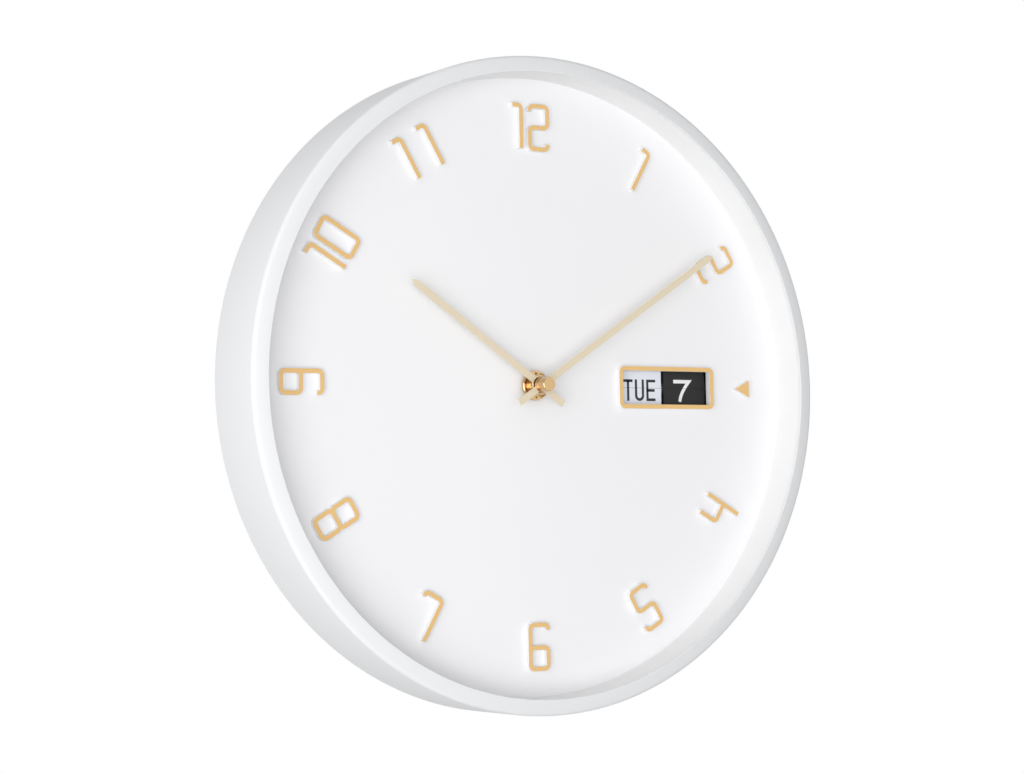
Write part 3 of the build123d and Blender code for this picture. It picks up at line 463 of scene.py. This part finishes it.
def grown(data, tree, values):
    """The plain mesh that a geometry tree makes from a curve or mesh."""
    seed = bpy.data.objects.new("seed", data)
    bpy.context.scene.collection.objects.link(seed)
    mod = seed.modifiers.new("grow", "NODES")
    mod.node_group = tree
    for item in tree.interface.items_tree:
        if item.item_type == "SOCKET" and item.in_out == "INPUT" and item.name in values:
            mod[item.identifier] = values[item.name]
    graph = bpy.context.evaluated_depsgraph_get()
    mesh = bpy.data.meshes.new_from_object(seed.evaluated_get(graph), depsgraph=graph)
    seed.modifiers.remove(mod)
    bpy.data.objects.remove(seed)
    return mesh


def tidy(mesh, angle=30.0):
    """Merges doubles, turns the faces outwards and smooths all but real edges."""
    form = bmesh.new()
    form.from_mesh(mesh)
    bmesh.ops.remove_doubles(form, verts=form.verts, dist=1e-7)
    bmesh.ops.recalc_face_normals(form, faces=form.faces)
    form.to_mesh(mesh)
    form.free()
    mesh.shade_smooth()
    mesh.set_sharp_from_angle(angle=math.radians(angle))
    return mesh


def lathe_tree():
    """Rounds a profile's corners by each point's radius and sweeps it round the hand axis."""
    tree, source, end = new_tree(
        "lathe", (("Sweep Radius", "NodeSocketFloat"), ("Facets", "NodeSocketInt"), ("Material", "NodeSocketMaterial"))
    )
    corner = add(tree, "GeometryNodeInputRadius")
    profile = add(
        tree,
        "GeometryNodeFilletCurve",
        {"Curve": source.outputs["Geometry"], "Count": 5, "Radius": corner.outputs[0], "Limit Radius": True},
        mode="POLY",
    )
    path = add(
        tree,
        "GeometryNodeCurvePrimitiveCircle",
        {"Resolution": source.outputs["Facets"], "Radius": source.outputs["Sweep Radius"]},
    )
    swept = add(
        tree, "GeometryNodeCurveToMesh", {"Curve": path.outputs[0], "Profile Curve": profile.outputs[0]}
    )
    stood = add(
        tree,
        "GeometryNodeTransform",
        {"Geometry": swept.outputs[0], "Rotation": (math.radians(90.0), 0.0, 0.0)},
    )
    return close_tree(tree, source, end, stood.outputs[0])


def turned(points, finish):
    """A ring turned round the hand axis from profile points: radius, y and corner rounding."""
    curve = bpy.data.curves.new("profile", "CURVE")
    curve.dimensions = "3D"
    line = curve.splines.new("POLY")
    line.points.add(len(points) - 1)
    line.use_cyclic_u = True
    # The profile is swept along a circle of this radius, so its x is measured from there
    sweep = 0.1
    for spot, (radius, y, rounding) in zip(line.points, points):
        spot.co = (radius - sweep, y, 0.0, 1.0)
        spot.radius = rounding
    tree = bpy.data.node_groups.get("lathe") or lathe_tree()
    mesh = grown(curve, tree, {"Sweep Radius": sweep, "Facets": sizes().turns, "Material": finish_of(finish)})
    return tidy(mesh)


def ribbon(form, points, stroke, closed=False):
    """A flat stroke of even width along x, z points, with mitred corners and square ends."""
    count = len(points)
    points = [Vector(p) for p in points]
    if not closed:
        for end, beside in ((0, 1), (-1, -2)):
            points[end] += (points[end] - points[beside]).normalized() * stroke / 2
    pairs = []
    for i, p in enumerate(points):
        before = points[i - 1] if i or closed else None
        after = points[(i + 1) % count] if i < count - 1 or closed else None
        into = (p - before).normalized() if before else (after - p).normalized()
        out = (after - p).normalized() if after else into
        side = Vector((-into.y, into.x)) + Vector((-out.y, out.x))
        side *= stroke / side.length_squared
        pairs.append([form.verts.new((q.x, 0.0, q.y)) for q in (p + side, p - side)])
    for i in range(count if closed else count - 1):
        (a, b), (c, d) = pairs[i], pairs[(i + 1) % count]
        form.faces.new((a, b, d, c))


def bend(centre, radius, start, stop, steps=10):
    """Points on an arc, angles in degrees."""
    turn = [math.radians(start + (stop - start) * i / steps) for i in range(steps + 1)]
    return [(centre[0] + radius * math.cos(t), centre[1] + radius * math.sin(t)) for t in turn]


def glyph(sign, wide, high):
    """Strokes of a letter or figure on its centre lines: (points, closed) in a box from the lower left."""
    half = wide / 2
    if sign == "T":
        return [([(0, high), (wide, high)], False), ([(half, high), (half, 0)], False)]
    if sign == "U":
        return [([(0, high), *bend((half, half), half, 180, 360), (wide, high)], False)]
    if sign == "E":
        return [([(wide, high), (0, high), (0, 0), (wide, 0)], False), ([(0, high / 2), (wide * 0.9, high / 2)], False)]
    if sign == "W":
        turns = [(0, high), (wide * 0.26, 0), (half, high), (wide * 0.74, 0), (wide, high)]
        return [([turns[i], turns[i + 1]], False) for i in range(4)]
    if sign == "D":
        flat = wide * 0.35
        bowl = [(flat + (wide - flat) * x, high / 2 * (1 + y)) for x, y in bend((0, 0), 1, 90, -90, 16)]
        return [([(0, 0), (0, high), *bowl], True)]
    if sign == "7":
        leg = [(wide * (0.36 + 0.64 * t**1.5), high * t) for t in (0.8, 0.6, 0.4, 0.2, 0.0)]
        return [([(0, high), (wide, high), *leg], False)]
    if sign == "8":
        r = high * 0.27
        low = bend((half, r), r, 90, 450, 28)[:-1]
        top = bend((half, high - r * 0.85), r * 0.85, -90, 270, 28)[:-1]
        return [(low, True), (top, True)]
    raise RuntimeError(f"no strokes for {sign}")


def words(signs, left, right, high, stroke, middle):
    """A flat mesh of signs spread between left and right, its height centred on middle, facing the front."""
    form = bmesh.new()
    gap = 0.125 * high
    wide = (right - left - gap * (len(signs) - 1)) / len(signs)
    for i, sign in enumerate(signs):
        base = Vector((left + i * (wide + gap) + stroke / 2, middle - high / 2 + stroke / 2))
        for points, closed in glyph(sign, wide - stroke, high - stroke):
            ribbon(form, [base + Vector(p) for p in points], stroke, closed)
    return form


def half_of(form, upper):
    """A copy of the words that keeps only what is above or below the gap between the cards."""
    half = form.copy()
    every = half.verts[:] + half.edges[:] + half.faces[:]
    way = 1 if upper else -1
    bmesh.ops.bisect_plane(
        half, geom=every, plane_co=(0, 0, way * sizes().card_gap / 2), plane_no=(0, 0, -way), clear_outer=True
    )
    return half


def relief(form, face, rise, place):
    """The mesh of flat strokes laid on a face at y, given thickness by a rise along y, then moved to its place."""
    made = bmesh.ops.extrude_face_region(form, geom=form.faces[:])
    lifted = [v for v in made["geom"] if isinstance(v, bmesh.types.BMVert)]
    bmesh.ops.translate(form, verts=lifted, vec=(0, rise, 0))
    bmesh.ops.translate(form, verts=form.verts[:], vec=(0, face, 0))
    bmesh.ops.transform(form, matrix=place, verts=form.verts[:])
    bmesh.ops.recalc_face_normals(form, faces=form.faces[:])
    mesh = bpy.data.meshes.new("relief")
    form.to_mesh(mesh)
    form.free()
    return mesh


def swing(name, share=1.0):
    """The turn of a joint at a share of its range, about its own axis."""
    joint = next(j for j in frame["joints"] if j["name"] == name)
    spot = Matrix.Translation(joint["pos_m"])
    turn = Matrix.Rotation(math.radians(joint["range_deg"][1] * share), 4, Vector(joint["axis"]))
    return spot @ turn @ spot.inverted()


class ClockOperator(bpy.types.Operator):
    """Base of the clock's operators."""

    bl_options = {"REGISTER", "UNDO"}


class CLOCK_OT_case(ClockOperator):
    """Case, inner ring and dial"""

    bl_idname = "clock.case"
    bl_label = "Case and Dial"

    def execute(self, context):
        s = sizes()
        outer, front = case_high.x, case_low.y
        inner, bore = outer - s.rim_width, outer - s.sheet
        lip, slope = front + s.lip_depth, s.rim_fall / s.rim_width
        back, far = front + s.sheet * (1 + slope), front + s.sheet + slope * (s.rim_width - s.sheet)
        show(
            "case",
            turned(
                (
                    (outer, 0.0, s.crisp), (outer, front + s.rim_fall, s.edge_round), (inner, front, s.lip_round),
                    (inner, lip, s.crisp), (inner + s.sheet, lip, s.crisp), (inner + s.sheet, back, s.crisp),
                    (bore, far, s.edge_round - s.sheet), (bore, 0.0, s.crisp),
                ),
                "case_enamel",
            ),
            "case_enamel", "clock", "white_enamel", "case_shell",
        )  # fmt: skip
        dress("ring_moulding", "spacer_ring")
        dress("dial_spray", "dial_plate")
        return {"FINISHED"}


class CLOCK_OT_numerals(ClockOperator):
    """Numerals, three o'clock marker and window frame"""

    bl_idname = "clock.numerals"
    bl_label = "Numerals and Frame"

    def execute(self, context):
        dress("foil_face", "three_marker", "window_frame", *(n for n in nodes if n.startswith("numeral_")))
        return {"FINISHED"}


class CLOCK_OT_hands(ClockOperator):
    """Hands and the polished hub"""

    bl_idname = "clock.hands"
    bl_label = "Hands"

    def execute(self, context):
        dress("hand_paint", "hour_hand", "minute_hand")
        dress("hub_gold", "hand_nut", "mounting_nut", "dial_washer", "centre_bush")
        return {"FINISHED"}


class CLOCK_OT_calendar(ClockOperator):
    """Day and date cards with their printing"""

    bl_idname = "clock.calendar"
    bl_label = "Flip Calendar"

    def execute(self, context):
        s = sizes()
        dress("pale_film", "day_leaves", "day_upper_leaf")
        # The day drum takes black film as well, so its flange between the two cards shows as a thin dark line: painted
        # shade for the shadow in the gap there
        dress("black_film", "day_drum", "date_drum", "date_leaves", "date_upper_leaf")
        rows = (
            ("day", ("TUE", "WED"), (s.day_left, s.day_right), s.day_letters, s.day_stroke, "day_ink", "pale_card"),
            ("date", ("7", "8"), (s.date_left, s.date_right), s.date_figure, s.date_stroke, "date_ink", "black_card"),
        )
        for card, (now, then), (left, right), high, stroke, finish, slot in rows:
            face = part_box(f"{card}_upper_leaf")[0].y
            drum, flap = f"{card}_drum_works", f"{card}_flap"
            step = swing(f"{card}_drum_step")
            fallen = step @ swing(f"{card}_flip")
            today = words(now, left, right, high, stroke, -s.text_drop)
            next_one = words(then, left, right, high, stroke, -s.text_drop)
            still = Matrix.Identity(4)
            prints = (
                ("now_upper", today, True, still, flap), ("now_lower", today, False, still, drum),
                ("next_upper", next_one, True, step.inverted(), drum),
                ("next_lower", next_one, False, fallen.inverted(), flap),
            )  # fmt: skip
            for part, form, upper, place, body in prints:
                show(f"{card}_{part}", relief(half_of(form, upper), face, -s.ink, place), finish, body, slot)
            today.free()
            next_one.free()
        return {"FINISHED"}


class CLOCK_OT_movement(ClockOperator):
    """Movement housing, train, cell and calendar works"""

    bl_idname = "clock.movement"
    bl_label = "Movement"

    def execute(self, context):
        dress("housing_moulding", "movement_housing", "rear_cover", "setting_knob")
        dress(
            "wheel_acetal", "hour_wheel", "motion_wheel", "day_wheel", "centre_wheel", "third_wheel", "second_wheel",
            "idler_wheel", "rotor", "train_plate",
        )  # fmt: skip
        dress("arbor_brass", "minute_arbor")
        dress("coil_copper", "coil")
        dress("board_green", "circuit_board")
        dress("cell_wrap", "battery")
        dress(
            "zinc_plate", "contact_minus", "contact_plus", "crystal", "drum_axle", "lever_spring", "calendar_lever",
            "stator", "case_clips", "hanger_bracket",
        )  # fmt: skip
        return {"FINISHED"}


def seats(mesh, radius):
    """The x, z centres of the round heads in a node, each head the points that lie near its first one."""
    near, groups = 2.2 * radius, []
    for vert in mesh.vertices:
        spot = Vector((vert.co.x, vert.co.z))
        for group in groups:
            if (group[0] - spot).length < near:
                group.append(spot)
                break
        else:
            groups.append([spot])
    found = []
    for group in groups:
        xs, zs = [p.x for p in group], [p.y for p in group]
        found.append(((min(xs) + max(xs)) / 2, (min(zs) + max(zs)) / 2))
    return found


def panel(low, high, corner):
    """Points of a rectangle with rounded corners, from its low and high x, z corners."""
    (x0, z0), (x1, z1) = low, high
    turns = ((x1, z1, 0), (x0, z1, 90), (x0, z0, 180), (x1, z0, 270))
    points = []
    for x, z, start in turns:
        centre = (x - corner if x == x1 else x + corner, z - corner if z == z1 else z + corner)
        points += bend(centre, corner, start, start + 90, 6)
    return points


class CLOCK_OT_cover(ClockOperator):
    """Moulded ribs, setting arrows and cell marks on the rear cover"""

    bl_idname = "clock.cover"
    bl_label = "Cover Relief"

    def execute(self, context):
        s = sizes()
        form = bmesh.new()
        # Four screws hold the cover over the movement, and two more hold its end over the drums
        spots = sorted(seats(nodes["cover_screws"].data, s.screw_head))
        main, end = spots[:4], spots[4:]
        left, right, top = main[0][0], main[-1][0], max(z for x, z in main)
        knob_low, knob_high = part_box("setting_knob")
        knob = Vector((knob_low.x + knob_high.x, knob_low.z + knob_high.z)) / 2
        inset, arrow = s.rib_inset, s.arrow_radius
        panels = (
            ((left + inset, knob.y + arrow + inset / 2), (right - inset, top - inset)),
            ((right + inset, min(z for x, z in end)), (end[-1][0] - inset, max(z for x, z in end))),
        )
        for low, high in panels:
            ribbon(form, panel(low, high, s.rib_corner), s.rib_width, True)
        # The first arrow's start and each arrow's sweep round the knob, in degrees
        first, sweep = 20, 110
        for start in (first, first + 180):
            stop = start + sweep
            ribbon(form, bend(knob, arrow, start, stop, 14), s.mark_width)
            turn = math.radians(stop)
            along, out = Vector((-math.sin(turn), math.cos(turn))), Vector((math.cos(turn), math.sin(turn)))
            foot = knob + out * arrow
            tip = (foot + along * s.arrow_tip, foot + out * s.arrow_half, foot - out * s.arrow_half)
            form.faces.new([form.verts.new((q.x, 0.0, q.y)) for q in tip])
        z, arm = cell_high.z + s.sign_gap, s.sign_arm
        plus, minus = cell_high.x - s.plus_inset, cell_low.x + s.minus_inset
        for x in (plus, minus):
            ribbon(form, [(x - arm, z), (x + arm, z)], s.mark_width)
        ribbon(form, [(plus, z - arm), (plus, z + arm)], s.mark_width)
        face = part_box("rear_cover")[1].y
        mesh = relief(form, face - s.rib_sink, s.rib_rise, Matrix.Identity(4))
        show("cover_relief", mesh, "housing_moulding", "clock", "black_moulding")
        return {"FINISHED"}


def scaled(tree, value, factor):
    """A socket's value times a factor."""
    return add(tree, "ShaderNodeMath", {0: value, 1: factor}, operation="MULTIPLY").outputs[0]


def screw_tree():
    """Pan heads with a cross recess, on shanks, one at each point of the seed."""
    tree, source, end = new_tree(
        "screws",
        (
            ("Head Radius", "NodeSocketFloat"), ("Head Height", "NodeSocketFloat"),
            ("Shank Radius", "NodeSocketFloat"), ("Shank Length", "NodeSocketFloat"),
            ("Material", "NodeSocketMaterial"),
        ),
    )  # fmt: skip
    radius, height = source.outputs["Head Radius"], source.outputs["Head Height"]
    reach = source.outputs["Shank Length"]
    # Shares of the head's radius, and the last of its height
    crown, bar_long, bar_wide, bar_lift = 0.78, 1.15, 0.24, 0.95
    head = add(
        tree,
        "GeometryNodeMeshCone",
        {
            "Vertices": 40, "Side Segments": 1, "Radius Bottom": radius, "Radius Top": scaled(tree, radius, crown),
            "Depth": height,
        },
    )  # fmt: skip
    size = {"X": scaled(tree, radius, bar_long), "Y": scaled(tree, radius, bar_wide), "Z": height}
    lift = {"Z": scaled(tree, height, bar_lift)}
    cut = head.outputs[0]
    for turn in (0.0, 90.0):
        bar = add(tree, "GeometryNodeMeshCube", {"Size": add(tree, "ShaderNodeCombineXYZ", size).outputs[0]})
        laid = add(
            tree,
            "GeometryNodeTransform",
            {
                "Geometry": bar.outputs[0], "Rotation": (0.0, 0.0, math.radians(turn)),
                "Translation": add(tree, "ShaderNodeCombineXYZ", lift).outputs[0],
            },
        )  # fmt: skip
        node = add(tree, "GeometryNodeMeshBoolean", {0: cut}, operation="DIFFERENCE", solver="EXACT")
        tree.links.new(laid.outputs[0], node.inputs[1])
        cut = node.outputs[0]
    shank = add(
        tree,
        "GeometryNodeMeshCylinder",
        {"Vertices": 20, "Radius": source.outputs["Shank Radius"], "Depth": reach},
    )
    down = add(tree, "ShaderNodeCombineXYZ", {"Z": scaled(tree, reach, -0.5)})
    sunk = add(tree, "GeometryNodeTransform", {"Geometry": shank.outputs[0], "Translation": down.outputs[0]})
    one = add(tree, "GeometryNodeJoinGeometry")
    tree.links.new(cut, one.inputs[0])
    tree.links.new(sunk.outputs[0], one.inputs[0])
    turn = add(
        tree,
        "FunctionNodeRandomValue",
        {"Min": (0.0, 0.0, 0.0), "Max": (0.0, 0.0, 1.5), "Seed": 4},
        data_type="FLOAT_VECTOR",
    )
    spun = add(
        tree,
        "GeometryNodeInstanceOnPoints",
        {"Points": source.outputs["Geometry"], "Instance": one.outputs[0], "Rotation": turn.outputs[0]},
    )
    stood = add(
        tree,
        "GeometryNodeTransform",
        {"Geometry": spun.outputs[0], "Rotation": (math.radians(-90.0), 0.0, 0.0)},
    )
    return close_tree(tree, source, end, stood.outputs[0])


class CLOCK_OT_screws(ClockOperator):
    """Cover and clip screws"""

    bl_idname = "clock.screws"
    bl_label = "Screws"

    def execute(self, context):
        s = sizes()
        tree = bpy.data.node_groups.get("screws") or screw_tree()
        for node in ("cover_screws", "clip_screws"):
            low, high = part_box(node)
            seat = high.y - s.screw_height
            spots = seats(nodes[node].data, s.screw_head)
            data = bpy.data.meshes.new("seats")
            data.from_pydata([(x, -z, seat) for x, z in spots], [], [])
            mesh = grown(
                data,
                tree,
                {
                    "Head Radius": s.screw_head, "Head Height": s.screw_height, "Shank Radius": s.screw_shank,
                    "Shank Length": seat - low.y, "Material": finish_of("zinc_plate"),
                },
            )  # fmt: skip
            show(f"{node}_heads", tidy(mesh), "zinc_plate", "clock", "zinc_steel", node)
        return {"FINISHED"}


class CLOCK_OT_stage(ClockOperator):
    """Floor, lights, world and camera"""

    bl_idname = "clock.stage"
    bl_label = "Studio"

    def execute(self, context):
        scene = context.scene
        scene.view_settings.view_transform = "Standard"
        form = bmesh.new()
        bmesh.ops.create_grid(form, x_segments=8, y_segments=8, size=sizes().floor_half)
        bmesh.ops.translate(form, verts=form.verts[:], vec=(0, 0, -sizes().floor_drop))
        mesh = bpy.data.meshes.new("floor")
        form.to_mesh(mesh)
        form.free()
        mesh.materials.append(finish_of("studio_floor"))
        floor = bpy.data.objects.new("floor", mesh)
        scene.collection.objects.link(floor)

        world = bpy.data.worlds.new("studio")
        world.use_nodes = True
        scene.world = world
        tree = world.node_tree
        tree.nodes.clear()
        light = add(tree, "ShaderNodeLightPath")
        facing = add(tree, "ShaderNodeSeparateXYZ", {"Vector": add(tree, "ShaderNodeTexCoord").outputs["Generated"]})
        # Metal sees a room that is darker on the left; the other surfaces get their soft light from the left
        room_levels, wash_levels = (0.35, 1.0), (1.02, 0.12)
        room, wash = (
            add(
                tree,
                "ShaderNodeMapRange",
                {"Value": facing.outputs["X"], "From Min": -1.0, "From Max": 1.0, "To Min": left, "To Max": right},
            ).outputs[0]
            for left, right in (room_levels, wash_levels)
        )
        mirrored = add(
            tree, "ShaderNodeMath", {0: light.outputs["Is Glossy Ray"], 1: light.outputs["Is Transmission Ray"]},
            operation="MAXIMUM",
        )  # fmt: skip
        soft = add(tree, "ShaderNodeMix", {"Factor": mirrored.outputs[0], "A": wash, "B": room}, data_type="FLOAT")
        level = add(
            tree,
            "ShaderNodeMix",
            {"Factor": light.outputs["Is Camera Ray"], "A": soft.outputs[0], "B": 1.0},
            data_type="FLOAT",
        )
        sky = add(tree, "ShaderNodeBackground", {"Color": (1.0, 1.0, 1.0, 1.0), "Strength": level.outputs[0]})
        add(tree, "ShaderNodeOutputWorld", {"Surface": sky.outputs[0]})

        # Name, place in metres, size in metres and power in watts
        lamps = (
            ("key", (-0.8, -0.9, -0.15), 0.9, 7.9), ("front", (-0.5, -2.6, -0.5), 1.6, 8.5),
            ("back", (0.9, 2.4, 0.2), 1.6, 22.0),
        )  # fmt: skip
        for name, place, size, power in lamps:
            lamp = bpy.data.lights.new(name, "AREA")
            lamp.size, lamp.energy = size, power
            stand = bpy.data.objects.new(name, lamp)
            stand.location = place
            stand.rotation_euler = (-Vector(place)).to_track_quat("-Z", "Y").to_euler()
            # The back lamp opens up the rear and stays out of the case's gloss
            stand.visible_glossy = name != "back"
            scene.collection.objects.link(stand)

        # The camera stands in front on the left, looks at the hand axis and is rolled a little
        place, target, roll = Vector((-0.6137, -0.9944, -0.0639)), Vector((0.0, -0.030, 0.0)), math.radians(-1.05)
        lens = bpy.data.cameras.new("camera")
        # Focal length in millimetres, then the shift as shares of the picture's longer side
        lens.lens, lens.shift_x, lens.shift_y = 88.2, -0.0305, -0.0018
        lens.clip_start, lens.clip_end = 0.01, 50.0
        camera = bpy.data.objects.new("camera", lens)
        camera.location = place
        camera.rotation_mode = "QUATERNION"
        camera.rotation_quaternion = (target - place).to_track_quat("-Z", "Y") @ Quaternion((0, 0, 1), roll)
        scene.collection.objects.link(camera)
        scene.camera = camera
        return {"FINISHED"}


STEPS = (
    CLOCK_OT_stage, CLOCK_OT_case, CLOCK_OT_numerals, CLOCK_OT_hands, CLOCK_OT_calendar, CLOCK_OT_movement,
    CLOCK_OT_cover, CLOCK_OT_screws,
)  # fmt: skip


class CLOCK_PT_panel(bpy.types.Panel):
    """Lists the clock's sizes, colours and steps"""

    bl_idname = "CLOCK_PT_panel"
    bl_label = "Wall Clock"
    bl_space_type = "VIEW_3D"
    bl_region_type = "UI"
    bl_category = "Wall Clock"

    def draw(self, context):
        for step in STEPS:
            self.layout.operator(step.bl_idname)
        for group in (context.scene.clock_sizes, context.scene.clock_colours):
            box = self.layout.box()
            for key in group.bl_rna.properties.keys():
                if key not in ("rna_type", "name"):
                    box.prop(group, key)


CLASSES = (ClockSizes, ClockColours, *STEPS, CLOCK_PT_panel)


def register():
    for item in CLASSES:
        bpy.utils.register_class(item)
    bpy.types.Scene.clock_sizes = PointerProperty(type=ClockSizes)
    bpy.types.Scene.clock_colours = PointerProperty(type=ClockColours)


def unregister():
    del bpy.types.Scene.clock_colours
    del bpy.types.Scene.clock_sizes
    for item in reversed(CLASSES):
        bpy.utils.unregister_class(item)


def main():
    register()
    for step in STEPS:
        group, name = step.bl_idname.split(".")
        getattr(getattr(bpy.ops, group), name)()
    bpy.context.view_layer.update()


if __name__ == "__main__":
    main()
